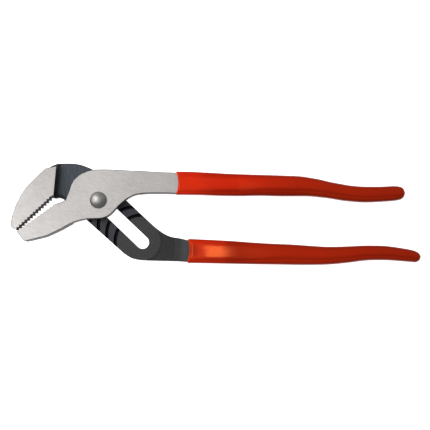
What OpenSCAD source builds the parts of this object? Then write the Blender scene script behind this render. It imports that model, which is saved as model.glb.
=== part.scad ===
// Tongue and groove pliers, about 12 inches long, lying flat.
// The origin is on the pivot axis, at the back face of the pivot nut.
// +X runs from the pivot towards the handle ends, +Z is the front of the tool.

/* [Jaws] */
// Thickness of the jaws
jaw_t = 13; // [11:0.5:15]
// Number of teeth on the upper jaw
upper_teeth = 13; // [10:1:16]
// Number of teeth on the lower jaw
lower_teeth = 12; // [9:1:15]
// Depth of a tooth on the upper jaw
upper_tooth_h = 1.6; // [0.8:0.05:1.8]
// Depth of a tooth on the lower jaw
lower_tooth_h = 0.95; // [0.5:0.05:1.3]

/* [Slot and grooves] */
// Angle of the slot below the X axis, degrees
slot_angle = 43.6; // [42:0.2:45]
// Width of the slot
slot_w = 9.75; // [9:0.05:11]
// Number of places that the pivot can be set to
positions = 6; // [4:1:6]
// Distance from one place to the next
pitch = 8.85; // [8:0.1:9.1]
// Radius of the grooves about the pivot
groove_r = 18.6; // [18:0.1:20]
// Depth of a groove
groove_d = 1.2; // [0.8:0.1:1.6]
// Width of a groove across its floor
groove_w = 1.7; // [1:0.1:2]
// Width of the ramp beside a groove
groove_ramp = 0.9; // [0.5:0.1:2]

/* [Pivot] */
// Diameter of the bolt's shank
shank_d = 9.6; // [9:0.05:10.6]
// Diameter of the bolt's head
head_d = 12.6; // [12:0.1:15]
// Height of the bolt's head
head_h = 3.2; // [2:0.1:4]
// Diameter of the bolt's threaded end
thread_d = 7.9; // [6:0.1:8]
// Diameter of the washer
washer_d = 17; // [15:0.5:20]
// Thickness of the washer
washer_t = 1.2; // [0.8:0.1:2]
// Width of the nut across its flats
nut_af = 13; // [12:0.5:14]
// Thickness of the nut
nut_t = 4.55; // [4:0.05:6]

/* [Grips] */
// Thickness of the dipped coating
coat = 1; // [0.8:0.05:1.5]

/* [Hidden] */
$fn = 72;
big = 400;

// Heights, measured from the back face of the nut
gap = 0.05;
mid = nut_t + washer_t + gap + jaw_t / 2;
face_z = jaw_t / 2;
track_z = -1.3;
boss_z = -0.85;
neck_z = 0;
handle_z = 0.3;
tongue_h = 0.35;
over = 1;
sink = 0.2;

// Radii about the pivot
bore_d = shank_d + 0.1;
hub_r = 14.2;
shoulder_r = 15.3;
jaw_wall_r = 26;
handle_step_r = 31;
relief_x = -11;
travel = pitch * (positions - 1);
slot_start = -0.5;
slot_end = travel + 1.1;

// Sweep of the grooves and of the tongue about the pivot, and the tongue's clearance at its sides
groove_sweep = 110;
tongue_sweep = 49;
tongue_start = 1;
tongue_side = 0.2;
tongue_ramp = 0.6;

// Nut and bolt end: chamfer, flat rim, play about the thread, end held back from the nut's face
nut_chamfer = 0.7;
nut_rim = 0.2;
thread_play = 0.1;
washer_play = 0.5;
end_back = 0.15;
head_rim = 0.6;

// Upper jaw's wall beside the milled lap
wall_x = -33.8;
wall_tilt = 4.85;
wall_fillet = 2;

// The upper jaw's back corner is cut lower than the lap beside it
corner_x = -42;
corner_y = 23.6;
corner_slope = 12;
corner_size = [11, 6];

steel = [0.80, 0.79, 0.78];
black = [0.25, 0.26, 0.28];
zinc = [0.55, 0.55, 0.54];
red = [0.80, 0.16, 0.07];

// Points on a smooth curve through every point given, with n steps between two of them
function curve_point(a, b, c, d, u) =
    0.5 * (2 * b + (c - a) * u + (2 * a - 5 * b + 4 * c - d) * u * u
           + (3 * b - 3 * c + d - a) * u * u * u);
function smooth(p, n = 4) =
    let (last = len(p) - 1)
    [for (i = [0 : last - 1], k = [0 : n - 1])
        curve_point(p[max(i - 1, 0)], p[i], p[i + 1], p[min(i + 2, last)], k / n),
     p[last]];

// A run of points moved sideways by d, to the right of its direction
function unit(v) = v / norm(v);
function beside(p, d) =
    let (last = len(p) - 1)
    [for (i = [0 : last])
        let (t = unit(p[min(i + 1, last)] - p[max(i - 1, 0)]))
        p[i] + d * [t[1], -t[0]]];

// A run of points backwards
function backwards(p) = [for (i = [len(p) - 1 : -1 : 0]) p[i]];

// A row of n teeth from a to b, cut h deep on the left of that direction
function teeth(a, b, n, h) =
    let (step = (b - a) / n, side = h * unit([a[1] - b[1], b[0] - a[0]]))
    [for (i = [0 : n - 1], k = [0 : 1])
        a + step * (i + k * 0.55) + k * side,
     b];

// Outer outline of each grip, from its start on top round its end to its start below
upper_grip_run = smooth([[58, 21.8], [70, 21.7], [84, 21.1], [99, 20.4], [114, 20], [129, 19.6],
    [144, 19.1], [152, 18.7], [159, 17.7], [167, 16.2], [174.3, 14.4], [182.4, 12.9], [189.6, 11.65],
    [197.7, 10.95], [205.8, 10.8], [212.9, 10.85], [219.9, 11.2], [224.5, 11.2], [228.2, 10.4],
    [230.2, 8.7], [230.9, 6], [230.4, 3.2], [228, 1], [224.2, 0.05], [220.2, -0.4], [212.8, -0.9],
    [205, -1.3], [197.4, -1.3], [189.8, -0.7], [182.2, 0.15], [174.6, 1.5], [166.9, 2.45], [159, 3.2],
    [151.5, 3.3], [136.5, 3.3], [121.4, 3.65], [106.3, 3.4], [91.2, 3.5], [76.2, 4], [58, 4.1]]);
lower_grip_run = smooth([[66.5, -28.6], [76.2, -29], [83.7, -29.35], [98.8, -30.15], [113.9, -31.25],
    [128.9, -32.15], [144, -32.75], [159.1, -33.8], [170, -34.5], [178, -34.55], [189.2, -34.15],
    [200, -33.65], [211.9, -33.75], [219.6, -34.35], [227.3, -35.5], [235, -36.9], [239.2, -38.4],
    [241.6, -40.4], [242, -42.9], [240.9, -45.2], [237.9, -46.6], [234.7, -46.3], [227, -45.7],
    [219.4, -45.1], [211.9, -44.9], [204.3, -45], [196.8, -45.6], [189.2, -46.65], [181.7, -47.45],
    [174.2, -48.1], [166.6, -48.4], [151.5, -48.5], [136.5, -48.25], [121.4, -48.05], [106.3, -47.75],
    [91.2, -47.45], [76.2, -47.1], [66.5, -47]]);
upper_tang_run = beside(upper_grip_run, coat);
lower_tang_run = beside(lower_grip_run, coat);

// Front half: hub and handle top, jaw, underside
front_top = smooth([[48, 21.1], [41.8, 21.5], [32.8, 22], [23.8, 22.35], [14.8, 22.95], [5.9, 23.25],
    [1.4, 23.25], [-5, 22.8], [-11.1, 20.8], [-13.9, 19.4], [-18.4, 15.5], [-20.6, 11.5], [-21.8, 7.6]]);
front_root = smooth([[-24.7, 0], [-27.9, -1.6], [-30.8, -2.6], [-33.7, -3.5]]);
lower_tooth_line = [[-34.1, -3.6], [-61.2, -23.3]];
front_nose = smooth([[-61.2, -23.3], [-58.1, -27.4], [-56.3, -29.9], [-54.6, -30.6]]);
front_under = smooth([[-54.6, -30.6], [-51, -29.9], [-45.6, -28.5], [-40.5, -27.3], [-36.2, -25.6],
    [-27.9, -21.6], [-20.8, -17.6], [-14.4, -15.3], [-7.6, -14], [-1.7, -13.9], [3.4, -13.4],
    [8, -11.5], [11.4, -8.4], [15.1, -4.3], [20.3, 0.2], [26.2, 3.6], [33.4, 5.1], [41, 5.4], [50, 5.4]]);
front_outline = concat(upper_tang_run, backwards(front_under), backwards(front_nose),
    teeth(lower_tooth_line[1], lower_tooth_line[0], lower_teeth, -lower_tooth_h),
    backwards(front_root), backwards(front_top));

// Rear half: outside of the upper jaw, shank, handle underside, throat
rear_top = smooth([[-65.7, -17.6], [-63.8, -9], [-60.7, -0.9], [-56.3, 6.9], [-52.1, 12.2],
    [-46.9, 17.5], [-42.3, 22.0], [-37.6, 26.1], [-34, 27.8], [-31, 28.4], [-27, 28.75], [-22.1, 28.75],
    [-17.4, 28.4], [-12.8, 27.3], [-8.2, 25.5], [-4, 23.5]]);
rear_neck = smooth([[37.2, -15.3], [41.8, -19.4], [46.2, -22.9], [50.6, -25.6], [55, -27.3], [60, -28.1]]);
rear_under = smooth([[60, -45.5], [50.2, -45.2], [41.1, -45], [36.5, -44.9], [32, -44.6], [27.6, -44],
    [23.2, -42.5], [18.7, -39.6]]);
rear_throat = smooth([[-27.1, 1.3], [-28.9, 2.3], [-31, 2.7], [-32.9, 2.3], [-34.6, 2.6]]);
upper_tooth_line = [[-34.6, 2.6], [-61, -22.4]];
rear_nose = smooth([[-61, -22.4], [-63.2, -21.6], [-65.4, -19.8], [-65.7, -17.6]]);
rear_outline = concat(rear_top, rear_neck, lower_tang_run, rear_under, rear_throat,
    teeth(upper_tooth_line[0], upper_tooth_line[1], upper_teeth, -upper_tooth_h), rear_nose);

// Side outlines, X against height about the mid plane. The handles close in on the mid plane.
front_side = [[-80, -face_z], [-80, face_z], [60, face_z], [72, face_z - 0.4], [105, 4.7], [250, 4.3],
    [250, -3.9], [105, -3.5], [60, -1.9], [-5, -1.5], [-5, -face_z]];
rear_side = [[-80, -face_z], [-80, face_z], [0, face_z], [0, neck_z], [57, neck_z], [68, 1.6],
    [105, 3.5], [250, 3.9], [250, -4.3], [105, -4.7], [76, -face_z + 0.4], [64, -face_z]];
upper_grip_side = [[50, -2.8], [60, -1.9 - coat], [105, -3.5 - coat], [240, -3.9 - coat],
    [240, 4.3 + coat], [105, 4.7 + coat], [72, face_z - 0.4 + coat], [60, face_z + coat],
    [50, face_z + coat]];
lower_grip_side = [[55, -face_z - coat], [64, -face_z - coat], [76, -face_z + 0.4 - coat],
    [105, -4.7 - coat], [250, -4.3 - coat], [250, 3.9 + coat], [105, 3.5 + coat], [68, 1.6 + coat],
    [55, 1.2]];

// A solid with a plan outline and a side outline
module forging(plan, side) {
    intersection() {
        translate([0, 0, -big / 2]) linear_extrude(big) polygon(plan);
        translate([0, big / 2, 0]) rotate([90, 0, 0]) linear_extrude(big) polygon(side);
    }
}

// Children placed at a distance along the slot from the first place of the pivot
module along_slot(s) {
    rotate([0, 0, -slot_angle]) translate([s, 0, 0]) children();
}

// The back of the front half: lap plane, hub, relief on the handle side
module front_back_cut() {
    below = face_z + over;
    translate([0, 0, boss_z - below]) cylinder(r = jaw_wall_r, h = below);
    intersection() {
        translate([relief_x, -big / 2, -big / 2]) cube([big, big, big]);
        union() {
            translate([0, 0, boss_z - below]) cylinder(r = handle_step_r, h = below);
            difference() {
                translate([0, 0, -below]) cylinder(r = handle_step_r, h = below + handle_z);
                translate([0, 0, -big / 2]) cylinder(r = hub_r, h = big);
            }
        }
    }
}

// The ridge on the back of the front half, an arc about the pivot on its jaw side
module tongue() {
    rotate([0, 0, 180 - slot_angle])
        translate([0, 0, boss_z - tongue_h])
            rotate_extrude(angle = tongue_sweep, start = tongue_start)
                polygon([[groove_r + tongue_side, 0], [groove_r + groove_w - tongue_side / 2, 0],
                         [groove_r + groove_w + tongue_ramp, tongue_h + sink],
                         [groove_r + tongue_side, tongue_h + sink]]);
}

module front_half() color(steel) translate([0, 0, mid]) {
    union() {
        difference() {
            forging(front_outline, front_side);
            front_back_cut();
            translate([0, 0, -big / 2]) cylinder(d = bore_d, h = big);
        }
        tongue();
    }
}

// The milled lap of the rear half, from the jaw wall to the round shoulder at the neck
module lap_cut() {
    top = face_z - track_z + over;
    translate([0, 0, track_z]) {
        intersection() {
            translate([wall_x, 0, 0]) rotate([0, 0, -wall_tilt])
                translate([0, -big / 2, 0]) cube([big, big, top]);
            rotate([0, 0, -slot_angle]) translate([travel - big, -big / 2, 0]) cube([big, big, top]);
        }
        along_slot(travel) cylinder(r = shoulder_r, h = top);
        translate([corner_x, corner_y, 0]) rotate([0, 0, corner_slope])
            cube([corner_size[0], corner_size[1], top]);
    }
}

// The rounded inner corner between the lap and the jaw wall
module wall_corner() {
    intersection() {
        translate([0, 0, -big / 2]) linear_extrude(big) polygon(rear_outline);
        translate([wall_x, 0, track_z]) rotate([0, 0, -wall_tilt]) translate([-over, -big / 2, -sink])
            difference() {
                cube([wall_fillet + over, big, wall_fillet + sink]);
                translate([wall_fillet + over, -over, wall_fillet + sink]) rotate([-90, 0, 0])
                    cylinder(r = wall_fillet, h = big + 2 * over);
            }
    }
}

// One groove: a steep wall towards the slot's end and a ramp on the other side
module groove() {
    rotate([0, 0, 180]) translate([0, 0, track_z - groove_d])
        rotate_extrude(angle = groove_sweep, start = -groove_sweep / 2)
            polygon([[groove_r, 0], [groove_r + groove_w, 0],
                     [groove_r + groove_w + groove_ramp, groove_d],
                     [groove_r + groove_w + groove_ramp, groove_d + over], [groove_r, groove_d + over]]);
}

module slot() {
    translate([0, 0, -big / 2]) {
        along_slot(slot_start) cylinder(d = slot_w, h = big);
        along_slot(slot_end) cylinder(d = slot_w, h = big);
        along_slot(slot_start) translate([0, -slot_w / 2, 0]) cube([slot_end - slot_start, slot_w, big]);
    }
}

module rear_half() color(black) translate([0, 0, mid]) {
    difference() {
        union() {
            difference() {
                forging(rear_outline, rear_side);
                lap_cut();
            }
            wall_corner();
        }
        for (i = [0 : positions - 1]) along_slot(i * pitch) groove();
        slot();
    }
}

// Domed head, shank through the hub and the slot, shouldered down to the threaded end
module pivot_bolt() color(zinc) {
    dome_h = head_h - head_rim;
    dome_r = (pow(head_d / 2, 2) + pow(dome_h, 2)) / (2 * dome_h);
    shoulder_z = nut_t + washer_t;
    head_z = mid + face_z + gap;
    translate([0, 0, end_back]) cylinder(d = thread_d, h = shoulder_z);
    translate([0, 0, shoulder_z]) cylinder(d = shank_d, h = head_z - shoulder_z + sink);
    translate([0, 0, head_z]) cylinder(d = head_d, h = head_rim);
    intersection() {
        translate([0, 0, head_z + head_rim]) cylinder(d = head_d, h = dome_h + over);
        translate([0, 0, head_z + head_h - dome_r]) sphere(r = dome_r);
    }
}

module pivot_washer() color(zinc) translate([0, 0, nut_t]) {
    difference() {
        cylinder(d = washer_d, h = washer_t);
        translate([0, 0, -over]) cylinder(d = thread_d + washer_play, h = washer_t + 2 * over);
    }
}

module pivot_nut() color(zinc) {
    corner_d = nut_af / cos(30);
    intersection() {
        difference() {
            cylinder(d = corner_d, h = nut_t, $fn = 6);
            translate([0, 0, -over]) cylinder(d = thread_d + thread_play, h = nut_t + 2 * over);
        }
        rotate_extrude()
            polygon([[0, 0], [nut_af / 2 - nut_rim, 0], [corner_d / 2 + sink, nut_chamfer],
                     [corner_d / 2 + sink, nut_t], [0, nut_t]]);
    }
}

module upper_grip() color(red) translate([0, 0, mid]) {
    difference() {
        forging(upper_grip_run, upper_grip_side);
        forging(front_outline, front_side);
    }
}

module lower_grip() color(red) translate([0, 0, mid]) {
    difference() {
        forging(lower_grip_run, lower_grip_side);
        forging(rear_outline, rear_side);
    }
}

front_half();
rear_half();
pivot_bolt();
pivot_washer();
pivot_nut();
upper_grip();
lower_grip();
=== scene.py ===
"""Looks of the tongue and groove pliers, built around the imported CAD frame.

Everything is in metres in the CAD model's frame: the origin is on the pivot's axis at the back
face of the nut, +X runs towards the handle ends and +Z is the front of the tool.
"""
import math

import bmesh
import bpy
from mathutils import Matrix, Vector

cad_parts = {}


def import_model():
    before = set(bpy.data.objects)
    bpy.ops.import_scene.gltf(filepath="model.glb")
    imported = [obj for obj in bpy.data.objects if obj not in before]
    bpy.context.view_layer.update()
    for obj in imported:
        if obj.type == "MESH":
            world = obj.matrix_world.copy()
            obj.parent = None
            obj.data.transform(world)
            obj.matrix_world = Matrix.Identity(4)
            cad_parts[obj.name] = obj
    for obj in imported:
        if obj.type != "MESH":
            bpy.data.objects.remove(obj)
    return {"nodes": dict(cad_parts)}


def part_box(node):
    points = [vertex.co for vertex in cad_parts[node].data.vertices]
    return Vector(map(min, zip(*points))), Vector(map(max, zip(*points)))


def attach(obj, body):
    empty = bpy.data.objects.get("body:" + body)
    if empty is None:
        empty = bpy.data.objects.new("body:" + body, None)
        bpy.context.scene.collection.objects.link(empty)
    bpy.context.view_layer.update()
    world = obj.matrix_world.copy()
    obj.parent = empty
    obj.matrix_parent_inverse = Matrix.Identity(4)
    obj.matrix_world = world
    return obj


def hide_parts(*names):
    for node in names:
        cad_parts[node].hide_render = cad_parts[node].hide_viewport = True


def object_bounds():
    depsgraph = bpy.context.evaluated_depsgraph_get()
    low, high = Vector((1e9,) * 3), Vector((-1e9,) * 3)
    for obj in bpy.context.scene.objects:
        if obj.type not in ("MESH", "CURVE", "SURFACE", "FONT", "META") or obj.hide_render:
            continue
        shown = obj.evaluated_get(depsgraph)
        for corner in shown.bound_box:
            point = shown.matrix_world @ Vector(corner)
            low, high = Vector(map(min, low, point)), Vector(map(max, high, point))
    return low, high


MM = 0.001
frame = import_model()
cad_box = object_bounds()

# The photograph's view: the camera stands a little towards the lower edge of the picture
IMAGE_SIDE = 430
PHOTO_MM_PER_PIXEL = 0.752
CAMERA_DISTANCE = 828 * MM
CAMERA_TILT = math.radians(5)
CAMERA_AIM = (87.47 * MM, -10.94 * MM)
CAMERA_AIM_HEIGHT = 3 * MM  # above the middle of the tool
CAMERA_CLIP_END = 20
SENSOR = 36.0

# Places read from the frame
FACE_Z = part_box("front_half")[1][2]
BACK_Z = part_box("front_half")[0][2]
MID_Z = (FACE_Z + BACK_Z) / 2
HEAD_LOW, HEAD_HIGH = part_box("pivot_bolt")
NUT_LOW, NUT_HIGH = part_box("pivot_nut")
WASHER_LOW, WASHER_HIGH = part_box("pivot_washer")
UPPER_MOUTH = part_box("upper_grip")[0][0]
LOWER_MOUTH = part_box("lower_grip")[0][0]

# The slot, the grooves beside it and the jaw's wall, as far as they shape or colour the steel
SLOT_TURN = math.radians(43.6)
SLOT_COS, SLOT_SIN = math.cos(SLOT_TURN), math.sin(SLOT_TURN)
SLOT_REACH = 5.5 * MM
SLOT_START = -5 * MM
LAST_PLACE = 44.25 * MM
TRACK_Z = MID_Z - 1.3 * MM
GROOVE_FLOOR_Z = TRACK_Z - 1.2 * MM
SHOULDER_CORNER_R = 15.2 * MM  # about the last place
WALL_X = -33.8 * MM
WALL_LEAN = math.tan(math.radians(4.85))
THROAT_CENTRE = (-31.2 * MM, -2.2 * MM)

# The corner where the wall meets the outline: its edges are too short to be rounded, and the CAD
# leaves a thin fin there, on a ledge
WALL_TOP = (-31.8 * MM, 28.0 * MM)
WALL_TOP_REACH = 1.7 * MM
FIN_REACH = 0.6 * MM
LEDGE_Z = 13.02 * MM

# The two rows of teeth, end to end, in millimetres, and how near an edge is to count as theirs
LOWER_TEETH = ((-34.1, -3.6), (-61.2, -23.3))
UPPER_TEETH = ((-34.6, 2.6), (-61.0, -22.4))
TOOTH_REACH = 1.9 * MM

# Edge rounding: its width on the outline, and the share of it that each kind of edge gets
OUTLINE_ROUND = 0.4 * MM
ROUND_SEGMENTS = 3
LEAST_ROUNDED_ANGLE = math.radians(24)
WEIGHT_NONE = 0.0
WEIGHT_OUTLINE = 1.0
WEIGHT_CORNER = 0.45
WEIGHT_STEP = 0.26
WEIGHT_TOOTH = 0.22
WEIGHT_LAP_OUTLINE = 1.8
WEIGHT_THROAT = 2.7
LAP_OUTLINE_FROM = -24 * MM
BORE_REACH, BORE_HEIGHT = 6.5 * MM, 7 * MM
THROAT_X = (-34 * MM, -26 * MM)
THROAT_Y = (0.0, 5 * MM)
OUTLINE_DEPTH = 3 * MM  # an outline edge's faces reach this far below the middle
LEVEL_NORMAL = 0.99
SAME_HEIGHT = 0.1 * MM
ON_TRACK = 0.02 * MM

# Cleaning of the CAD mesh before its edges are rounded
WELD = 0.004 * MM
FLAT_ANGLE = math.radians(0.6)
FORGED_SMOOTH = math.radians(28)

# The tang is drawn in by this share, from this far inside the grip's mouth, towards the middle of
# the grip's cut, which is last taken this far from the grip's end
TANG_DRAW = 0.22
TANG_FROM = 4 * MM
TANG_LAST_CUT = 2 * MM

# Dipped grips: thickness, squareness at the mouth and at the end, and how the rings are spaced
COAT = 1.0 * MM
BOXY = 6.6
ROUND = 3.1
ROUNDED_BY = 2.6  # round at 1 / 2.6 of the length
RING_POINTS = 64
MOUTH_LIP = (
    # distance from the mouth, inset from the outside
    (2.2 * MM, COAT + 0.5 * MM), (0.25 * MM, COAT + 0.02 * MM), (0.0, COAT * 0.72),
    (0.06 * MM, COAT * 0.4), (0.3 * MM, COAT * 0.14), (0.7 * MM, 0.0),
)
MOUTH_FADE_RINGS = 7
MOUTH_FADE_STEP = 1.6 * MM
BODY_FROM = 14 * MM
BODY_STEP = 2.2 * MM
END_LENGTH = 9 * MM
END_RINGS = 12
END_GAP = 0.03 * MM
TIP_LENGTH = 7 * MM
TIP_POWER = 2.4
TIP_LEAST = 0.35  # of the thickness
UPPER_DIP, UPPER_LEAN = 1.9 * MM, 0.0
LOWER_DIP, LOWER_LEAN = 1.4 * MM, 0.6 * MM
GRIP_SMOOTH = math.radians(60)

# How far inside the grip's ends its width and its thickness are still measured on the CAD
WIDTH_MARGIN = 0.02 * MM
THICKNESS_MARGINS = (2 * MM, 8 * MM)

# Pivot hardware
SHANK_R = 4.8 * MM
THREAD_R = 3.95 * MM
THREAD_PITCH = 1.25 * MM
THREAD_DEPTH = 0.45 * MM
THREAD_START = 0.35 * MM
THREAD_STOP = 0.3 * MM
BOLT_CHAMFER = 0.9 * MM
SHANK_CHAMFER = 0.2 * MM
WASHER_PLAY = 0.25 * MM
NUT_FLATS = 13 * MM
NUT_FACE_INSET = 0.2 * MM
NUT_CHAMFER = math.tan(math.radians(30))
HEAD_RIM = 0.6 * MM
HEAD_GAP = 0.05 * MM
RIM_CHAMFER = 0.15 * MM
RIM_TOP = 0.05 * MM
DOME_RINGS = 14
DOME_SHARE = 0.985
AXIS_R = 0.02 * MM
TURN_STEPS = 96

# Colours of the steel: ground bright, then black oxide where it is milled and forged
BRIGHT_LOW = (0.289, 0.277, 0.269)
BRIGHT_HIGH = (0.426, 0.41, 0.40)
BRIGHT_WORN = (0.416, 0.401, 0.39)
OXIDE_LAP_LOW = (0.014, 0.019, 0.027)
OXIDE_LAP_HIGH = (0.056, 0.069, 0.084)
OXIDE_LAND_LOW = (0.013, 0.013, 0.018)
OXIDE_LAND_HIGH = (0.030, 0.030, 0.040)
OXIDE_NECK_LOW = (0.013, 0.013, 0.0135)
OXIDE_NECK_HIGH = (0.025, 0.025, 0.0255)
OXIDE_BED_LOW = (0.020, 0.020, 0.021)
OXIDE_BED_HIGH = (0.034, 0.034, 0.035)
OXIDE_SKIN_LOW = (0.016, 0.016, 0.017)
OXIDE_SKIN_HIGH = (0.034, 0.034, 0.035)
# Near black: oxide in the grooves, painted shade at the shoulder and the throat, and the band along
# the upper teeth
BLACK_OXIDE_AND_SHADE = (0.005, 0.005, 0.006)
OXIDE_PARTING = (0.06, 0.058, 0.056)
EDGE_INNER, EDGE_INNER_BARE = (0.028, 0.028, 0.029), (0.15, 0.147, 0.14)
EDGE_OUTER, EDGE_OUTER_BARE = (0.016, 0.016, 0.018), (0.16, 0.155, 0.15)
# Painted shade, near black, for the inner edges near the jaw's wall
WALL_EDGE_SHADE = (0.010, 0.010, 0.012)
DIRT_LOW, DIRT_HIGH = (0.006, 0.006, 0.007), (0.020, 0.019, 0.018)
SATIN_LOW, SATIN_HIGH = (0.24, 0.236, 0.226), (0.34, 0.333, 0.32)
PLATED_LOW, PLATED_HIGH = (0.36, 0.355, 0.34), (0.52, 0.51, 0.49)
SATIN_ROUGHNESS = 0.44
PLATED_ROUGHNESS = 0.34
# Painted shade at the bolt head's rim and a painted highlight towards its top
RIM_SHADE = 0.8
HEAD_TOP_HIGHLIGHT = 1.7

# Zones of the forged steel, in millimetres: where a mask is 0, where it is 1. Tones, shades and
# shares are factors from 0 to 1.
FACE_BAND = (-0.12, -0.03)  # from the outer face
TIP_BAND = (0.8, 0.45)  # off the line of the upper teeth
TIP_ROW_END = (-33.6, -34.2)
# Painted shade on the ground faces: darker towards the top of the upper jaw, and on the hub and
# handle
FACE_SHADE_ACROSS = (-28, 20)  # y on the upper jaw
FACE_SHADE_TONES = (0.97, 0.76)
HANDLE_SHADE_FROM = (-34, -12)
HANDLE_SHADE_TONE = 0.90
WALL_FOOT = (1.0, 3.2)  # off the wall
WALL_FOOT_SHADE = 0.35
LAP_TO_LAND = (-4, 6)  # along the slot
LAND_TO_BED = (27, 31)  # along the slot
NECK_HEIGHT = (1.1, 0.5)
NECK_ALONG = (26, 56)
NECK_SHADE = 0.5
# Painted shade: a near black band round the edge of the throat
THROAT_SHADE_BAND = (8.3, 7.2)  # from the throat's centre
THROAT_SHADE_FROM = (-37, -34)
MILLED_HEIGHT = (1.9, 1.5)
PARTING_HEIGHT = (0.7, 0.25)
PARTING_SHARE = 0.35
GROOVES_FROM = (-30, -26)
UNDER_TRACK = (-0.01, -0.12)
OVER_FLOOR = (-0.3, -0.1)
# Painted shadow line in the corner under the round shoulder
SHOULDER_SHADE_BAND = (1.1, 0.6)  # off the shoulder's corner
SHOULDER_SHADE_PAST_SLOT = (2, 7)
SHOULDER_SHADE_SHARE = 0.9
EDGE_OUTER_HEIGHT = (2.5, 4)
WALL_EDGE_SHADE_FROM = (-24, -27)

# How level a surface is, where a mask is 0 and where it is 1: 0 stands upright, 1 is flat
FACE_LEVEL = (0.90, 0.97)
MILLED_LEVEL = (0.9, 0.98)
PARTING_LEVEL = (0.3, 0.1)

# Colours of the vinyl: lighter at the mouth and deeper further on, partly from the coat and partly
# painted light and shade
VINYL_DEEP = (0.345, 0.0155, 0.0035)
VINYL_PLAIN = (0.42, 0.018, 0.0042)
VINYL_THIN_AND_LIT = (0.69, 0.020, 0.005)
VINYL_END = (0.245, 0.0125, 0.0032)
VINYL_SHADE = (0.10, 0.003, 0.001)
VINYL_GLOSS_TINT = (1.0, 0.24, 0.04, 1)
MOUTH_SLANT = 0.8  # the lower grip is past its mouth sooner
PAST_MOUTH = (70, 155)
NEAR_END = (150, 235)
NEAR_END_SHARE = 0.55

# Painted light and shade across a grip, by how far its surface faces the upper side: 0 faces down,
# 0.5 out, 1 up
# darker on the lower side, with a painted dark reflected line low on the face and a darker top edge
VINYL_SHADE_ACROSS = ((0.0, 0.50), (0.10, 0.50), (0.26, 0.72), (0.37, 0.98), (0.435, 0.70),
                (0.465, 0.72), (0.50, 1.0), (0.66, 0.93), (0.88, 0.60))

# Painted shade in bands, two on the upper grip and one on the lower: window across, window along
# (both in mm), share of shade
VINYL_SHADE_BANDS = (
    ((-14, -10, 6.4, 10.4), (64, 92, 135, 180), 0.42),
    ((15.0, 19.2, 60, 61), (66, 88, 125, 165), 0.34),
    ((-61, -60, -24, -20), (92, 99, 101, 124), 0.32),
)

# A soft darker spot in the lower grip's mouth: centre, then reach, core and share
MOUTH_SPOT = (70.5 * MM, -37.5 * MM)
MOUTH_SPOT_REACH, MOUTH_SPOT_CORE, MOUTH_SPOT_SHARE = 7.5 * MM, 1.0 * MM, 0.5

# Stage and lights
FLOOR_SIDE = 2.5
FLOOR_GAP = 0.2 * MM
FLOOR_LOW, FLOOR_HIGH = (0.88, 0.88, 0.88), (0.90, 0.90, 0.90)
FLOOR_GLOW = 0.9
WORLD_HORIZON = 0.9
WORLD_SKY = 0.3
HORIZON_RISE = (0.05, 0.22)
WHITE = (1, 1, 1, 1)
TOOL_MIDDLE = (0.088, -0.011, MID_Z)
LIGHTS = (
    # name, place, target, width, depth, watts
    ("key", (-0.53, 0.16, 0.78), TOOL_MIDDLE, 0.8, 0.8, 9.6),
    ("fill", (0.75, 0.35, 0.75), TOOL_MIDDLE, 0.8, 0.8, 0.8),
    ("patch", (0.0009, 0.0104, 0.86), (0.0009, 0.0104, 0), 0.034, 0.085, 0.18),
    ("overhead", (0.0, 0.02, 1.05), (0.0, 0.02, 0), 0.34, 0.34, 0.38),
)


# ---------------------------------------------------------------- node helpers

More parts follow.
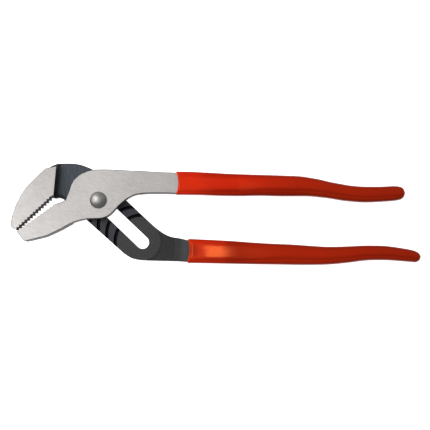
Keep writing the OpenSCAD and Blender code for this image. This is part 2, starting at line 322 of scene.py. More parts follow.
class Nodes:
    """Short calls for building one material's node tree."""

    def __init__(self, name):
        self.material = bpy.data.materials.new(name)
        self.material.use_nodes = True
        self.tree = self.material.node_tree
        self.shader = self.tree.nodes["Principled BSDF"]
        self.coords = self.tree.nodes.new("ShaderNodeTexCoord")
        self.at = self.coords.outputs["Object"]

    def add(self, kind, **settings):
        node = self.tree.nodes.new(kind)
        for key, value in settings.items():
            setattr(node, key, value)
        return node

    def link(self, a, b):
        self.tree.links.new(a, b)

    def into(self, socket, value):
        """Links a socket, or sets a number or colour, into one of the shader's inputs."""
        if hasattr(value, "links"):
            self.link(value, self.shader.inputs[socket])
        else:
            self.shader.inputs[socket].default_value = value

    def split(self, vector):
        node = self.add("ShaderNodeSeparateXYZ")
        self.link(vector, node.inputs[0])
        return node.outputs

    def mapping(self, scale, turn=0.0):
        """Object coordinates turned about Z, then scaled."""
        turned = self.add("ShaderNodeMapping")
        turned.inputs["Rotation"].default_value = (0, 0, turn)
        self.link(self.at, turned.inputs["Vector"])
        node = self.add("ShaderNodeMapping")
        node.inputs["Scale"].default_value = scale
        self.link(turned.outputs["Vector"], node.inputs["Vector"])
        return node.outputs["Vector"]

    def noise(self, vector, scale, detail, roughness):
        node = self.add("ShaderNodeTexNoise")
        node.inputs["Scale"].default_value = scale
        node.inputs["Detail"].default_value = detail
        node.inputs["Roughness"].default_value = roughness
        self.link(vector, node.inputs["Vector"])
        return node.outputs["Fac"]

    def math(self, operation, *values):
        node = self.add("ShaderNodeMath", operation=operation)
        for socket, value in zip(node.inputs, values):
            if isinstance(value, (int, float)):
                socket.default_value = value
            else:
                self.link(value, socket)
        return node.outputs[0]

    def plus(self, a, b):
        return self.math("ADD", a, b)

    def minus(self, a, b):
        return self.math("SUBTRACT", a, b)

    def times(self, a, b):
        return self.math("MULTIPLY", a, b)

    def absolute(self, a):
        return self.math("ABSOLUTE", a)

    def span(self, value, limits, out=(0.0, 1.0), smooth=False):
        """Maps the first limit to the first output and the second to the second, and clamps."""
        node = self.add("ShaderNodeMapRange", clamp=True)
        if smooth:
            node.interpolation_type = "SMOOTHSTEP"
        node.inputs["From Min"].default_value = limits[0]
        node.inputs["From Max"].default_value = limits[1]
        node.inputs["To Min"].default_value = out[0]
        node.inputs["To Max"].default_value = out[1]
        self.link(value, node.inputs["Value"])
        return node.outputs["Result"]

    def fade(self, value, limits, out=(0.0, 1.0), smooth=False):
        """A span whose limits are in millimetres."""
        return self.span(value, (limits[0] * MM, limits[1] * MM), out, smooth)

    def window(self, value, edges):
        """1 between the middle two of four edges in millimetres, 0 outside the outer two."""
        a, b, c, d = edges
        rising = self.fade(value, (a, b), smooth=True)
        return self.times(rising, self.fade(value, (d, c), smooth=True))

    def mix(self, factor, a, b):
        """A colour between a and b, each a socket or three numbers."""
        node = self.add("ShaderNodeMix", data_type="RGBA")
        for socket, value in ((node.inputs[0], factor), (node.inputs[6], a), (node.inputs[7], b)):
            if isinstance(value, (int, float)):
                socket.default_value = value
            elif isinstance(value, tuple):
                socket.default_value = (*value, 1.0)
            else:
                self.link(value, socket)
        return node.outputs[2]

    def mottle(self, noise, low, high, limits=(0.33, 0.66)):
        """A colour that follows a noise from low to high."""
        return self.mix(self.span(noise, limits), low, high)

    def blend(self, factor, a, b):
        """A number between a and b."""
        return self.plus(a, self.times(factor, self.minus(b, a)))

    def tint(self, colour, amount):
        """A colour times a number."""
        node = self.add("ShaderNodeVectorMath", operation="SCALE")
        self.link(colour, node.inputs[0])
        self.link(amount, node.inputs["Scale"])
        return node.outputs[0]

    def ramp(self, value, stops):
        """A number looked up between stops of (place from 0 to 1, number)."""
        node = self.add("ShaderNodeValToRGB")
        while len(node.color_ramp.elements) < len(stops):
            node.color_ramp.elements.new(0.5)
        for element, (at, tone) in zip(node.color_ramp.elements, stops):
            element.position = at
            element.color = (tone, tone, tone, 1)
        self.link(value, node.inputs[0])
        return node.outputs[0]

    def away(self, place, x, y):
        """Distance in plan from a point."""
        dx = self.minus(place[0], x)
        dy = self.minus(place[1], y)
        return self.math("SQRT", self.plus(self.times(dx, dx), self.times(dy, dy)))

    def bump(self, heights, strength):
        """Chains bumps: heights is a list of (height socket, distance in metres)."""
        normal = None
        for height, distance in heights:
            node = self.add("ShaderNodeBump")
            node.inputs["Strength"].default_value = strength
            node.inputs["Distance"].default_value = distance
            self.link(height, node.inputs["Height"])
            if normal is not None:
                self.link(normal, node.inputs["Normal"])
            normal = node.outputs["Normal"]
        self.into("Normal", normal)


# ---------------------------------------------------------------- materials: the forgings

class Forging(Nodes):
    """The forgings' node tree, with the measures that the zones of their finish are cut from."""

    def __init__(self, name):
        super().__init__(name)
        self.place = self.split(self.at)
        self.level = self.absolute(self.split(self.coords.outputs["Normal"])[2])
        self.height = self.absolute(self.minus(self.place[2], MID_Z))
        self.along = self.minus(self.times(self.place[0], SLOT_COS),
                                self.times(self.place[1], SLOT_SIN))
        self.wear = self.noise(self.at, scale=900, detail=5, roughness=0.65)


def tooth_tips(m):
    """A mask along the tips of the upper teeth, where the bright steel is painted near black."""
    start, end = (Vector(point) * MM for point in UPPER_TEETH)
    across = Vector((start.y - end.y, end.x - start.x)).normalized()
    off = m.plus(m.times(m.place[0], across.x), m.times(m.place[1], across.y))
    off = m.absolute(m.minus(off, start.dot(across)))
    return m.times(m.fade(off, TIP_BAND), m.fade(m.place[0], TIP_ROW_END))


def ground_faces(m):
    """A mask where the surface lies at the outer faces and points straight out of them."""
    from_face = m.minus(m.height, FACE_Z - MID_Z)
    return m.times(m.fade(from_face, FACE_BAND), m.span(m.level, FACE_LEVEL))


def grinding_marks(m):
    """Fine scratches across the tool, with a few longer ones."""
    fine = m.noise(m.mapping((4200, 260, 300), math.radians(-38)), scale=1.0, detail=3, roughness=0.7)
    long = m.noise(m.mapping((160, 2600, 200), math.radians(8)), scale=1.0, detail=4, roughness=0.75)
    return m.plus(m.times(fine, 0.5), m.times(long, 0.5))


def bright_steel(m, marks):
    """Ground steel, with painted shade: darker towards the top of the upper jaw and over the hub and
    handle.
    """
    broad = m.noise(m.at, scale=45, detail=3, roughness=0.5)
    bright = m.mottle(marks, BRIGHT_LOW, BRIGHT_HIGH, (0.36, 0.64))
    bright = m.mix(m.span(broad, (0.35, 0.7), (0.0, 0.3)), bright, BRIGHT_WORN)
    # Painted shade: the ground faces darker towards the top of the upper jaw and over the hub and
    # handle
    painted_face_shade = m.fade(m.place[1], FACE_SHADE_ACROSS, FACE_SHADE_TONES)
    painted_face_shade = m.blend(m.fade(m.place[0], HANDLE_SHADE_FROM), painted_face_shade, HANDLE_SHADE_TONE)
    return m.mix(tooth_tips(m), m.tint(bright, painted_face_shade), BLACK_OXIDE_AND_SHADE)


def shoulder_shadow_line(m):
    """A mask for a painted shadow line in the corner under the round shoulder, past the end of the
    slot.
    """
    off = m.away(m.place, LAST_PLACE * SLOT_COS, -LAST_PLACE * SLOT_SIN)
    off = m.absolute(m.minus(off, SHOULDER_CORNER_R))
    past_slot = m.fade(m.minus(m.along, LAST_PLACE), SHOULDER_SHADE_PAST_SLOT, (0.0, SHOULDER_SHADE_SHARE))
    return m.times(m.fade(off, SHOULDER_SHADE_BAND), past_slot)


def milled_steel(m):
    """Oxide on the milled levels: bluish lap, land under the pivot, bed of the slot, neck; painted
    shade at the wall's foot, under the shoulder and round the throat.
    """
    milled = m.noise(m.mapping((3400, 90, 400), math.radians(3)), scale=1.0, detail=4, roughness=0.75)
    lap = m.mottle(milled, OXIDE_LAP_LOW, OXIDE_LAP_HIGH)
    from_wall = m.minus(m.minus(m.place[0], m.times(m.place[1], WALL_LEAN)), WALL_X)
    lap = m.tint(lap, m.fade(from_wall, WALL_FOOT, (WALL_FOOT_SHADE, 1.0)))
    land = m.mottle(milled, OXIDE_LAND_LOW, OXIDE_LAND_HIGH)
    bed = m.mottle(m.wear, OXIDE_BED_LOW, OXIDE_BED_HIGH)
    neck = m.mottle(m.wear, OXIDE_NECK_LOW, OXIDE_NECK_HIGH)
    neck = m.tint(neck, m.fade(m.place[0], NECK_ALONG, (1.0, NECK_SHADE)))
    steel = m.mix(m.fade(m.along, LAP_TO_LAND), lap, land)
    steel = m.mix(m.fade(m.along, LAND_TO_BED), steel, bed)
    steel = m.mix(m.fade(m.height, NECK_HEIGHT), steel, neck)
    # Painted shadow line under the shoulder, near black
    steel = m.mix(shoulder_shadow_line(m), steel, BLACK_OXIDE_AND_SHADE)
    # Painted shade round the throat's edge, near black
    lip = m.fade(m.away(m.place, *THROAT_CENTRE), THROAT_SHADE_BAND, smooth=True)
    return m.mix(m.times(lip, m.fade(m.place[0], THROAT_SHADE_FROM)), steel, BLACK_OXIDE_AND_SHADE)


def groove_floors(m):
    """A mask between the level beside the slot and the floor of the grooves."""
    under_track = m.fade(m.minus(m.place[2], TRACK_Z), UNDER_TRACK)
    over_floor = m.fade(m.minus(m.place[2], GROOVE_FLOOR_Z), OVER_FLOOR)
    return m.times(m.times(under_track, over_floor), m.fade(m.place[0], GROOVES_FROM))


def forged_steel():
    """Ground bright on the two outer faces, black oxide everywhere else."""
    m = Forging("forged_steel")
    ground = ground_faces(m)
    marks = grinding_marks(m)
    groove = groove_floors(m)
    parting = m.times(m.fade(m.height, PARTING_HEIGHT, smooth=True), m.span(m.level, PARTING_LEVEL))

    skin = m.mottle(m.wear, OXIDE_SKIN_LOW, OXIDE_SKIN_HIGH, (0.3, 0.72))
    milled = m.times(m.span(m.level, MILLED_LEVEL), m.fade(m.height, MILLED_HEIGHT))
    dark = m.mix(milled, skin, milled_steel(m))
    dark = m.mix(m.times(parting, PARTING_SHARE), dark, OXIDE_PARTING)
    dark = m.mix(groove, dark, BLACK_OXIDE_AND_SHADE)

    m.into("Base Color", m.mix(ground, dark, bright_steel(m, marks)))
    m.into("Metallic", m.plus(m.times(m.math("MAXIMUM", ground, groove), 0.9), 0.1))
    rough_bright = m.span(marks, (0.3, 0.7), (0.52, 0.40))
    rough_dark = m.span(m.wear, (0.3, 0.7), (0.60, 0.46))
    m.into("Roughness", m.blend(ground, rough_dark, rough_bright))
    m.into("Specular IOR Level", 0.3)
    m.bump([(marks, 0.008 * MM), (m.wear, 0.015 * MM), (parting, 0.15 * MM)], strength=0.3)
    return m.material


def worn_and_shaded_edge():
    """The rounded edges: black at the outer faces, rubbed a little at the steps between, and painted
    shade near the jaw's wall.
    """
    m = Nodes("worn_and_shaded_edge")
    place = m.split(m.at)
    height = m.absolute(m.minus(place[2], MID_Z))
    rub = m.noise(m.at, scale=420, detail=6, roughness=0.7)
    spots = m.noise(m.at, scale=60, detail=3, roughness=0.5)
    bare = m.times(m.span(rub, (0.5, 0.7)), m.span(spots, (0.42, 0.7)))
    inner = m.mix(bare, EDGE_INNER, EDGE_INNER_BARE)
    # Painted shade on the inner edges near the jaw's wall
    inner = m.mix(m.fade(place[0], WALL_EDGE_SHADE_FROM), inner, WALL_EDGE_SHADE)
    outer = m.mix(bare, EDGE_OUTER, EDGE_OUTER_BARE)
    m.into("Base Color", m.mix(m.fade(height, EDGE_OUTER_HEIGHT), inner, outer))
    m.into("Metallic", 0.35)
    m.into("Specular IOR Level", 0.3)
    m.into("Roughness", m.span(rub, (0.3, 0.7), (0.55, 0.38)))
    m.bump([(rub, 0.02 * MM)], strength=0.3)
    return m.material


def toothed_steel():
    """Between the teeth the oxide is thick and dirty."""
    m = Nodes("toothed_steel")
    dirt = m.noise(m.at, scale=1100, detail=5, roughness=0.7)
    m.into("Base Color", m.mottle(dirt, DIRT_LOW, DIRT_HIGH, (0.3, 0.72)))
    m.into("Roughness", m.span(dirt, (0.3, 0.7), (0.72, 0.55)))
    m.into("Metallic", 0.1)
    m.into("Specular IOR Level", 0.2)
    m.bump([(dirt, 0.03 * MM)], strength=0.3)
    return m.material


# ---------------------------------------------------------------- materials: hardware and grips

def satin_steel(name, low, high, roughness, rim=None):
    """Machined fasteners: turned rings about the pivot axis and a light tarnish.

    With a rim radius, painted shade darkens the rim and a painted highlight makes the head paler
    towards the top.
    """
    m = Nodes(name)
    place = m.split(m.at)
    radius = m.away(place, 0.0, 0.0)
    ring_at = m.add("ShaderNodeCombineXYZ")
    m.link(radius, ring_at.inputs[0])
    m.link(place[2], ring_at.inputs[2])
    rings = m.noise(ring_at.outputs[0], scale=5200, detail=3, roughness=0.7)
    tarnish = m.noise(m.at, scale=320, detail=5, roughness=0.6)
    tone = m.mottle(m.plus(m.times(rings, 0.45), m.times(tarnish, 0.55)), low, high, (0.36, 0.64))
    if rim is not None:
        rim_tone = tuple(RIM_SHADE * part for part in low)
        # Painted shade at the rim and a painted highlight towards the top
        tone = m.mix(m.span(radius, (rim * 0.35, rim * 0.95)), tone, rim_tone)
        tone = m.tint(tone, m.span(place[1], (rim * 0.1, rim * 0.8), (1.0, HEAD_TOP_HIGHLIGHT)))
    m.into("Base Color", tone)
    m.into("Metallic", 1.0)
    m.into("Roughness", m.span(tarnish, (0.3, 0.7), (roughness + 0.07, roughness - 0.05)))
    m.bump([(rings, 0.01 * MM), (tarnish, 0.02 * MM)], strength=0.35)
    return m.material


def vinyl_colour(m):
    """Lighter at the mouth, deeper further on and along the sides: partly the coat, partly painted
    light and shade.
    """
    place = m.split(m.at)
    facing = m.split(m.coords.outputs["Normal"])
    cloud = m.noise(m.at, scale=70, detail=3, roughness=0.5)
    tone = m.mix(m.span(cloud, (0.3, 0.7), (0.35, 0.75)), VINYL_DEEP, VINYL_PLAIN)
    # Lighter at the mouth: partly a thinner coat, partly painted light
    thin = m.mix(m.span(cloud, (0.3, 0.7), (0.55, 0.85)), VINYL_PLAIN, VINYL_THIN_AND_LIT)
    past_mouth = m.minus(place[0], m.times(place[1], MOUTH_SLANT))
    tone = m.mix(m.fade(past_mouth, PAST_MOUTH, smooth=True), thin, tone)
    # Deeper towards the end: partly the coat, partly painted shade
    tone = m.mix(m.fade(place[0], NEAR_END, (0.0, NEAR_END_SHARE)), tone, VINYL_END)
    # Painted shade on the lower side, a painted dark reflected line, and a darker top edge
    tone = m.tint(tone, m.ramp(m.span(facing[1], (-1.0, 1.0)), VINYL_SHADE_ACROSS))
    # Painted shade in bands along the grips
    for across, along, share in VINYL_SHADE_BANDS:
        band = m.times(m.window(place[1], across), m.window(place[0], along))
        tone = m.mix(m.times(band, share), tone, VINYL_SHADE)
    # A soft darker spot in the lower grip's mouth
    off = m.away(place, *MOUTH_SPOT)
    mouth_spot = m.span(off, (MOUTH_SPOT_REACH, MOUTH_SPOT_CORE), (0.0, MOUTH_SPOT_SHARE), smooth=True)
    return m.mix(mouth_spot, tone, VINYL_SHADE)


def dipped_vinyl():
    """Glossy orange red vinyl with a faint ripple along the grip."""
    m = Nodes("dipped_vinyl")
    ripple = m.noise(m.mapping((28, 160, 160)), scale=1.0, detail=3, roughness=0.5)
    speck = m.noise(m.at, scale=1500, detail=3, roughness=0.6)
    m.into("Base Color", vinyl_colour(m))
    m.into("Roughness", m.span(speck, (0.3, 0.7), (0.05, 0.10)))
    m.into("Specular IOR Level", 0.3)
    m.into("Specular Tint", VINYL_GLOSS_TINT)
    m.into("Coat Weight", 0.03)
    m.into("Coat Roughness", 0.12)
    m.bump([(ripple, 0.12 * MM), (speck, 0.003 * MM)], strength=0.25)
    return m.material


def floor_white():
    """Pale, matt and glowing a little, so that shadows stay faint."""
    m = Nodes("floor_white")
    grain = m.noise(m.at, scale=40, detail=2, roughness=0.5)
    m.into("Base Color", m.mottle(grain, FLOOR_LOW, FLOOR_HIGH, (0.3, 0.7)))
    m.into("Roughness", 0.9)
    m.into("Specular IOR Level", 0.1)
    m.into("Emission Color", WHITE)
    m.into("Emission Strength", FLOOR_GLOW)
    return m.material


# ---------------------------------------------------------------- mesh helpers

def finish_mesh(name, build, smooth_angle):
    """Turns a bmesh into a mesh, smooth wherever its faces meet at less than an angle."""
    bmesh.ops.recalc_face_normals(build, faces=build.faces)
    for face in build.faces:
        face.smooth = True
    for edge in build.edges:
        if len(edge.link_faces) == 2:
            edge.smooth = edge.calc_face_angle(0.0) < smooth_angle
    mesh = bpy.data.meshes.new(name)
    build.to_mesh(mesh)
    build.free()
    return mesh


def rings_to_mesh(name, rings, capped=True, smooth_angle=math.radians(35)):
    """A tube through rings of points, all of one length, capped at both ends or at neither."""
    build = bmesh.new()
    rows = [[build.verts.new(point) for point in ring] for ring in rings]
    count = len(rings[0])
    for low, high in zip(rows, rows[1:]):
        for i in range(count):
            j = (i + 1) % count
            build.faces.new((low[i], low[j], high[j], high[i]))
    if capped:
        build.faces.new(list(reversed(rows[0])))
        build.faces.new(rows[-1])
    return finish_mesh(name, build, smooth_angle)


def turned(profile):
    """Rings about the pivot axis from (radius, height) pairs."""
    turns = [2 * math.pi * i / TURN_STEPS for i in range(TURN_STEPS)]
    return [[(r * math.cos(turn), r * math.sin(turn), z) for turn in turns] for r, z in profile]


def new_piece(name, mesh, body, slot, node, *materials):
    """An object of the tool: rides on its body and stands for its CAD node."""
    obj = bpy.data.objects.new(name, mesh)
    bpy.context.collection.objects.link(obj)
    for material in materials:
        mesh.materials.append(material)
    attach(obj, body)
    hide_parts(node)
    return obj


def edges_of(node):
    """The edges of a CAD node as pairs of points."""
    mesh = frame["nodes"][node].data
    return [tuple(mesh.vertices[i].co.copy() for i in edge.vertices) for edge in mesh.edges]


GRIP_EDGES = {node: edges_of(node) for node in ("upper_grip", "lower_grip")}


def cut(node, x, axis):
    """Lowest and highest place along an axis where the plane at x cuts a grip's CAD node."""
    found = []
    for a, b in GRIP_EDGES[node]:
        if (a.x - x) * (b.x - x) <= 0 and a.x != b.x:
            found.append(a[axis] + (b[axis] - a[axis]) * (x - a.x) / (b.x - a.x))
    return min(found), max(found)


# ---------------------------------------------------------------- the two forged halves

def distance_in_plan(point, place):
    return math.hypot(point.x - place[0], point.y - place[1])


def distance_to_row(point, row):
    """Distance in plan from a point to a row of teeth."""
    a, b = (Vector(end) * MM for end in row)
    p = Vector((point.x, point.y))
    t = max(0.0, min(1.0, (p - a).dot(b - a) / (b - a).length_squared))
    return (p - a - t * (b - a)).length


def is_outline(edge, middle):
    """Whether an edge is on the outside of the rear half, away from its slot and grooves."""
    off_slot = abs(middle.x * SLOT_SIN + middle.y * SLOT_COS)
    in_slot = off_slot < SLOT_REACH and middle.x > SLOT_START
    deepest = min(vert.co.z for face in edge.link_faces for vert in face.verts)
    return deepest < MID_Z - OUTLINE_DEPTH and not in_slot


def is_throat(middle):
    """Whether an edge belongs to the small radius at the foot of the jaw's wall."""
    in_x = THROAT_X[0] < middle.x < THROAT_X[1]
    in_y = THROAT_Y[0] < middle.y < THROAT_Y[1]
    return in_x and in_y and abs(middle.z - TRACK_Z) < SAME_HEIGHT


def edge_weight(edge):
    """How far an outward edge is rounded, as a share of the outline's rounding."""
    if len(edge.link_faces) != 2 or edge.calc_face_angle_signed(0.0) < LEAST_ROUNDED_ANGLE:
        return WEIGHT_NONE
    middle = (edge.verts[0].co + edge.verts[1].co) / 2
    if distance_in_plan(middle, (0.0, 0.0)) < BORE_REACH and abs(middle.z - MID_Z) < BORE_HEIGHT:
        return WEIGHT_STEP
    if distance_in_plan(middle, WALL_TOP) < WALL_TOP_REACH:
        return WEIGHT_NONE
    if distance_to_row(middle, UPPER_TEETH) < TOOTH_REACH:
        return WEIGHT_NONE
    if distance_to_row(middle, LOWER_TEETH) < TOOTH_REACH:
        return WEIGHT_TOOTH
    level = [abs(face.normal.z) > LEVEL_NORMAL for face in edge.link_faces]
    if not any(level):
        return WEIGHT_CORNER
    if is_throat(middle):
        return WEIGHT_THROAT
    on_track = all(abs(vert.co.z - TRACK_Z) < ON_TRACK for vert in edge.verts)
    if on_track and is_outline(edge, middle):
        return WEIGHT_LAP_OUTLINE if middle.x > LAP_OUTLINE_FROM else WEIGHT_OUTLINE
    at_face = abs(abs(middle.z - MID_Z) - (FACE_Z - MID_Z)) < SAME_HEIGHT
    return WEIGHT_OUTLINE if at_face else WEIGHT_STEP


def hide_tang(build, grip_node, mouth):
    """Draws the steel inside a grip in towards its middle, so that only the coating shows."""
    last_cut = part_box(grip_node)[1][0] - TANG_LAST_CUT
    for vert in build.verts:
        if vert.co.x < mouth + TANG_FROM:
            continue
        low, high = cut(grip_node, min(vert.co.x, last_cut), 1)
        vert.co.y += ((low + high) / 2 - vert.co.y) * TANG_DRAW
        vert.co.z += (MID_Z - vert.co.z) * TANG_DRAW


def fold_fin(build):
    """Folds down the thin fin that the CAD leaves where the wall meets the outline."""
    for vert in build.verts:
        if distance_in_plan(vert.co, WALL_TOP) < FIN_REACH and vert.co.z > LEDGE_Z:
            vert.co.z = LEDGE_Z


def paint_teeth(mesh):
    """Gives the flanks of the teeth the third material."""
    for face in mesh.polygons:
        near = min(distance_to_row(face.center, row) for row in (LOWER_TEETH, UPPER_TEETH))
        is_flank = near < TOOTH_REACH and abs(face.normal.z) < 0.5
        face.material_index = 2 if is_flank else 0


def forged_half(name, node, body, slot, grip_node, mouth, materials):
    """The CAD half with its edges rounded and rubbed."""
    build = bmesh.new()
    build.from_mesh(frame["nodes"][node].data)
    bmesh.ops.remove_doubles(build, verts=build.verts, dist=WELD)
    bmesh.ops.dissolve_limit(build, angle_limit=FLAT_ANGLE, verts=build.verts, edges=build.edges)
    hide_tang(build, grip_node, mouth)
    fold_fin(build)
    layer = build.edges.layers.float.new("bevel_weight_edge")
    for edge in build.edges:
        edge[layer] = edge_weight(edge)
    mesh = finish_mesh(name, build, FORGED_SMOOTH)
    obj = new_piece(name, mesh, body, slot, node, *materials)
    paint_teeth(mesh)
    bevel = obj.modifiers.new("rounded_edges", "BEVEL")
    bevel.limit_method = "WEIGHT"
    bevel.width = OUTLINE_ROUND
    bevel.segments = ROUND_SEGMENTS
    bevel.material = 1
    bevel.use_clamp_overlap = False
    bevel.harden_normals = True


# ---------------------------------------------------------------- dipped grips

def section(x, low, high, bottom, top, power, inset):
    """One ring of a grip: a rounded rectangle in the plane at x."""
    half_y = (high - low) / 2 - inset
    half_z = (top - bottom) / 2 - inset
    ring = []
    for i in range(RING_POINTS):
        angle = 2 * math.pi * i / RING_POINTS
        c, s = math.cos(angle), math.sin(angle)
        ring.append((x, (low + high) / 2 + half_y * math.copysign(abs(c) ** (2 / power), c),
                     (bottom + top) / 2 + half_z * math.copysign(abs(s) ** (2 / power), s)))
    return ring


def grip(name, node, body, dip, lean, material):
    """A dipped grip: concave mouth with a rounded lip, boxy at first, round at its end."""
    start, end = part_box(node)[0][0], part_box(node)[1][0]

    def ring_at(x, inset=0.0, mouth=0.0):
        """The ring at x; mouth is the share of the mouth's dip and lean that it takes."""
        low, high = cut(node, min(max(x, start + WIDTH_MARGIN), end - WIDTH_MARGIN), 1)
        first, last = start + THICKNESS_MARGINS[0], end - THICKNESS_MARGINS[1]
        bottom, top = cut(node, min(max(x, first), last), 2)
        power = BOXY - (BOXY - ROUND) * min(1.0, (x - start) / (end - start) * ROUNDED_BY)
        tip = max(0.0, (x - (end - TIP_LENGTH)) / TIP_LENGTH)
        squeeze = math.sqrt(max(0.0, 1 - tip ** TIP_POWER))
        middle = (bottom + top) / 2
        half = (top - bottom) / 2 * (TIP_LEAST + (1 - TIP_LEAST) * squeeze)
        ring = []
        for px, py, pz in section(x, low, high, middle - half, middle + half, power, inset):
            t = (py - (low + high) / 2) / ((high - low) / 2)
            ring.append((px + mouth * dip * (1 - t * t) + mouth * lean * (t + 1) / 2, py, pz))
        return ring

    rings = [ring_at(start + along, inset, 1.0) for along, inset in MOUTH_LIP]
    lip_end = start + MOUTH_LIP[-1][0]
    for i in range(1, MOUTH_FADE_RINGS):
        rings.append(ring_at(lip_end + i * MOUTH_FADE_STEP, mouth=1 - i / MOUTH_FADE_RINGS))
    x = start + BODY_FROM
    while x < end - END_LENGTH:
        rings.append(ring_at(x))
        x += BODY_STEP
    for i in range(END_RINGS + 1):
        rings.append(ring_at(end - END_LENGTH * math.cos(math.pi / 2 * i / END_RINGS) - END_GAP))
    mesh = rings_to_mesh(name, rings, smooth_angle=GRIP_SMOOTH)
    new_piece(name, mesh, body, "dipped_grip", node, material)


# ---------------------------------------------------------------- pivot hardware

def thread(low, top):
    """Profile of the thread from a height up to another: a ridge for each turn."""
    profile = []
    z = low
    while z < top:
        profile += [(THREAD_R - THREAD_DEPTH, z), (THREAD_R, z + THREAD_PITCH * 0.45),
                    (THREAD_R, z + THREAD_PITCH * 0.55)]
        z += THREAD_PITCH
    return profile


def dome(base_r, base_z, top_z):
    """Profile of the domed head, from its base to its top."""
    height = top_z - base_z
    radius = (base_r ** 2 + height ** 2) / (2 * height)
    full = math.asin(base_r / radius)
    profile = []
    for i in range(DOME_RINGS):
        angle = full * (1 - i / DOME_RINGS) * DOME_SHARE
        profile.append((radius * math.sin(angle), top_z - radius * (1 - math.cos(angle))))
    return profile + [(AXIS_R, top_z)]


def pivot_bolt(material):
    """Domed head with a turned rim, shank, and a threaded end with a chamfer."""
    low, seat = HEAD_LOW[2], WASHER_HIGH[2]
    head_r = HEAD_HIGH[0]
    head_z = FACE_Z + HEAD_GAP
    dome_z = head_z + HEAD_RIM
    profile = [(AXIS_R, low), (THREAD_R - BOLT_CHAMFER, low)]
    profile += thread(low + THREAD_START, seat - THREAD_STOP)
    profile += [(THREAD_R - THREAD_STOP, seat), (SHANK_R - SHANK_CHAMFER, seat),
                (SHANK_R, seat + SHANK_CHAMFER), (SHANK_R, head_z),
                (head_r - RIM_CHAMFER, head_z), (head_r, head_z + RIM_CHAMFER),
                (head_r, dome_z - RIM_TOP)]
    profile += dome(head_r, dome_z, HEAD_HIGH[2])
    mesh = rings_to_mesh("bolt", turned(profile))
    new_piece("bolt", mesh, "pivot", "pivot_steel", "pivot_bolt", material)


def pivot_washer(material):
    """Flat washer, stamped: its lower rim is rounded, its other edges are only broken."""
    r, low, high = WASHER_HIGH[0], WASHER_LOW[2], WASHER_HIGH[2]
    bore = THREAD_R + WASHER_PLAY
    fine, coarse, rim = 0.1 * MM, 0.35 * MM, 0.12 * MM
    profile = [(bore, low + fine), (bore + fine, low), (r - coarse, low), (r - fine, low + fine),
               (r, low + coarse), (r, high - rim), (r - rim, high), (bore + fine, high),
               (bore, high - fine)]
    mesh = rings_to_mesh("washer", turned(profile + profile[:1]), capped=False)
    new_piece("washer", mesh, "pivot", "pivot_steel", "pivot_washer", material)


def pivot_nut(material):
    """Hexagon nut, chamfered on its outer face, with a countersunk thread."""
    low, high = NUT_LOW[2], NUT_HIGH[2]
    bore = THREAD_R + 0.05 * MM
    face_r = NUT_FLATS / 2 - NUT_FACE_INSET

    def flats(turn):
        """Radius of the hexagon at an angle."""
        return (NUT_FLATS / 2 - 0.02 * MM) / math.cos(turn % (math.pi / 3) - math.pi / 6)

    def chamfer(turn):
        return low + max(0.0, flats(turn) - face_r) * NUT_CHAMFER

    sides = (
        # radius and height at each angle, from the bore's lower end round to its upper end
        (lambda turn: bore, lambda turn: low + 0.5 * MM),
        (lambda turn: bore + 0.45 * MM, lambda turn: low),
        (lambda turn: face_r, lambda turn: low),
        (flats, chamfer),
        (flats, lambda turn: high - 0.25 * MM),
        (lambda turn: flats(turn) - NUT_FACE_INSET, lambda turn: high),
        (lambda turn: bore + 0.3 * MM, lambda turn: high),
        (lambda turn: bore, lambda turn: high - 0.3 * MM),
    )
    turns = [2 * math.pi * i / TURN_STEPS for i in range(TURN_STEPS)]
    rings = [[(radius(turn) * math.cos(turn), radius(turn) * math.sin(turn), height(turn))
              for turn in turns] for radius, height in sides]
    mesh = rings_to_mesh("nut", rings + rings[:1], capped=False, smooth_angle=math.radians(25))
    new_piece("nut", mesh, "pivot", "pivot_steel", "pivot_nut", material)


# ---------------------------------------------------------------- stage, lights and camera

def floor():
    """A plain square just under the tool."""
    build = bmesh.new()
    corners = ((-1, -1), (1, -1), (1, 1), (-1, 1))
    build.faces.new([build.verts.new((x * FLOOR_SIDE, y * FLOOR_SIDE, 0)) for x, y in corners])
    mesh = bpy.data.meshes.new("floor")
    build.to_mesh(mesh)
    build.free()
    mesh.materials.append(floor_white())
    obj = bpy.data.objects.new("floor", mesh)
    bpy.context.collection.objects.link(obj)
    obj.location.z = cad_box[0][2] - FLOOR_GAP


def area_light(name, place, target, width, depth, watts):
    """A rectangular lamp that points at a target."""
    data = bpy.data.lights.new(name, "AREA")
    data.shape = "RECTANGLE"
    data.size = width
    data.size_y = depth
    data.energy = watts
    obj = bpy.data.objects.new(name, data)
    bpy.context.collection.objects.link(obj)
    obj.location = place
    obj.rotation_euler = (Vector(target) - Vector(place)).to_track_quat("-Z", "Y").to_euler()


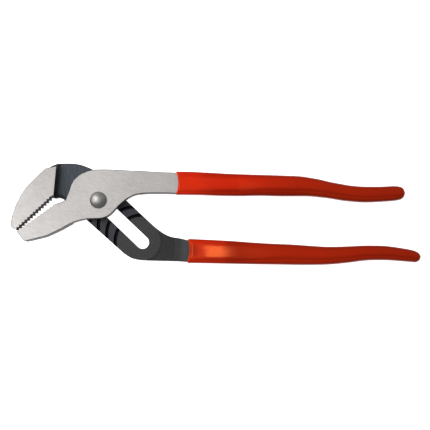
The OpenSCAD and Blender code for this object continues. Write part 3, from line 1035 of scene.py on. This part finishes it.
def camera():
    """Looks down on the front of the tool from a little below its middle in the picture."""
    target = Vector((*CAMERA_AIM, MID_Z + CAMERA_AIM_HEIGHT))
    back = Vector((0, -math.sin(CAMERA_TILT), math.cos(CAMERA_TILT)))
    data = bpy.data.cameras.new("camera")
    data.sensor_width = SENSOR
    data.lens = SENSOR * CAMERA_DISTANCE / (IMAGE_SIDE * PHOTO_MM_PER_PIXEL * MM)
    data.clip_end = CAMERA_CLIP_END
    obj = bpy.data.objects.new("camera", data)
    bpy.context.collection.objects.link(obj)
    obj.location = target + CAMERA_DISTANCE * back
    obj.rotation_euler = (CAMERA_TILT, 0, 0)
    bpy.context.scene.camera = obj


def world():
    """Pale along the horizon and dim overhead, so that the glossy grips keep their colour."""
    sky = bpy.data.worlds.new("studio")
    sky.use_nodes = True
    tree = sky.node_tree
    coords = tree.nodes.new("ShaderNodeTexCoord")
    parts = tree.nodes.new("ShaderNodeSeparateXYZ")
    rise = tree.nodes.new("ShaderNodeMapRange")
    rise.interpolation_type = "SMOOTHSTEP"
    rise.inputs["From Min"].default_value = HORIZON_RISE[0]
    rise.inputs["From Max"].default_value = HORIZON_RISE[1]
    rise.inputs["To Min"].default_value = WORLD_HORIZON
    rise.inputs["To Max"].default_value = WORLD_SKY
    tree.links.new(coords.outputs["Generated"], parts.inputs[0])
    tree.links.new(parts.outputs[2], rise.inputs["Value"])
    tree.links.new(rise.outputs["Result"], tree.nodes["Background"].inputs["Strength"])
    tree.nodes["Background"].inputs["Color"].default_value = WHITE
    bpy.context.scene.world = sky


# ---------------------------------------------------------------- the scene

def tool():
    """Every piece of the tool, in place of its CAD node."""
    forged = (forged_steel(), worn_and_shaded_edge(), toothed_steel())
    satin = satin_steel("satin_head", SATIN_LOW, SATIN_HIGH, SATIN_ROUGHNESS, rim=HEAD_HIGH[0])
    plated = satin_steel("plated_nut", PLATED_LOW, PLATED_HIGH, PLATED_ROUGHNESS)
    vinyl = dipped_vinyl()
    forged_half("front_forging", "front_half", "front", "ground_steel",
                "upper_grip", UPPER_MOUTH, forged)
    forged_half("rear_forging", "rear_half", "rear", "black_oxide_steel",
                "lower_grip", LOWER_MOUTH, forged)
    grip("upper_dip", "upper_grip", "front", UPPER_DIP, UPPER_LEAN, vinyl)
    grip("lower_dip", "lower_grip", "rear", LOWER_DIP, LOWER_LEAN, vinyl)
    pivot_bolt(satin)
    pivot_washer(plated)
    pivot_nut(plated)


def studio():
    """The floor, the camera, the sky and the lamps."""
    floor()
    camera()
    world()
    for light in LIGHTS:
        area_light(*light)
    bpy.context.scene.view_settings.view_transform = "Standard"


tool()
studio()
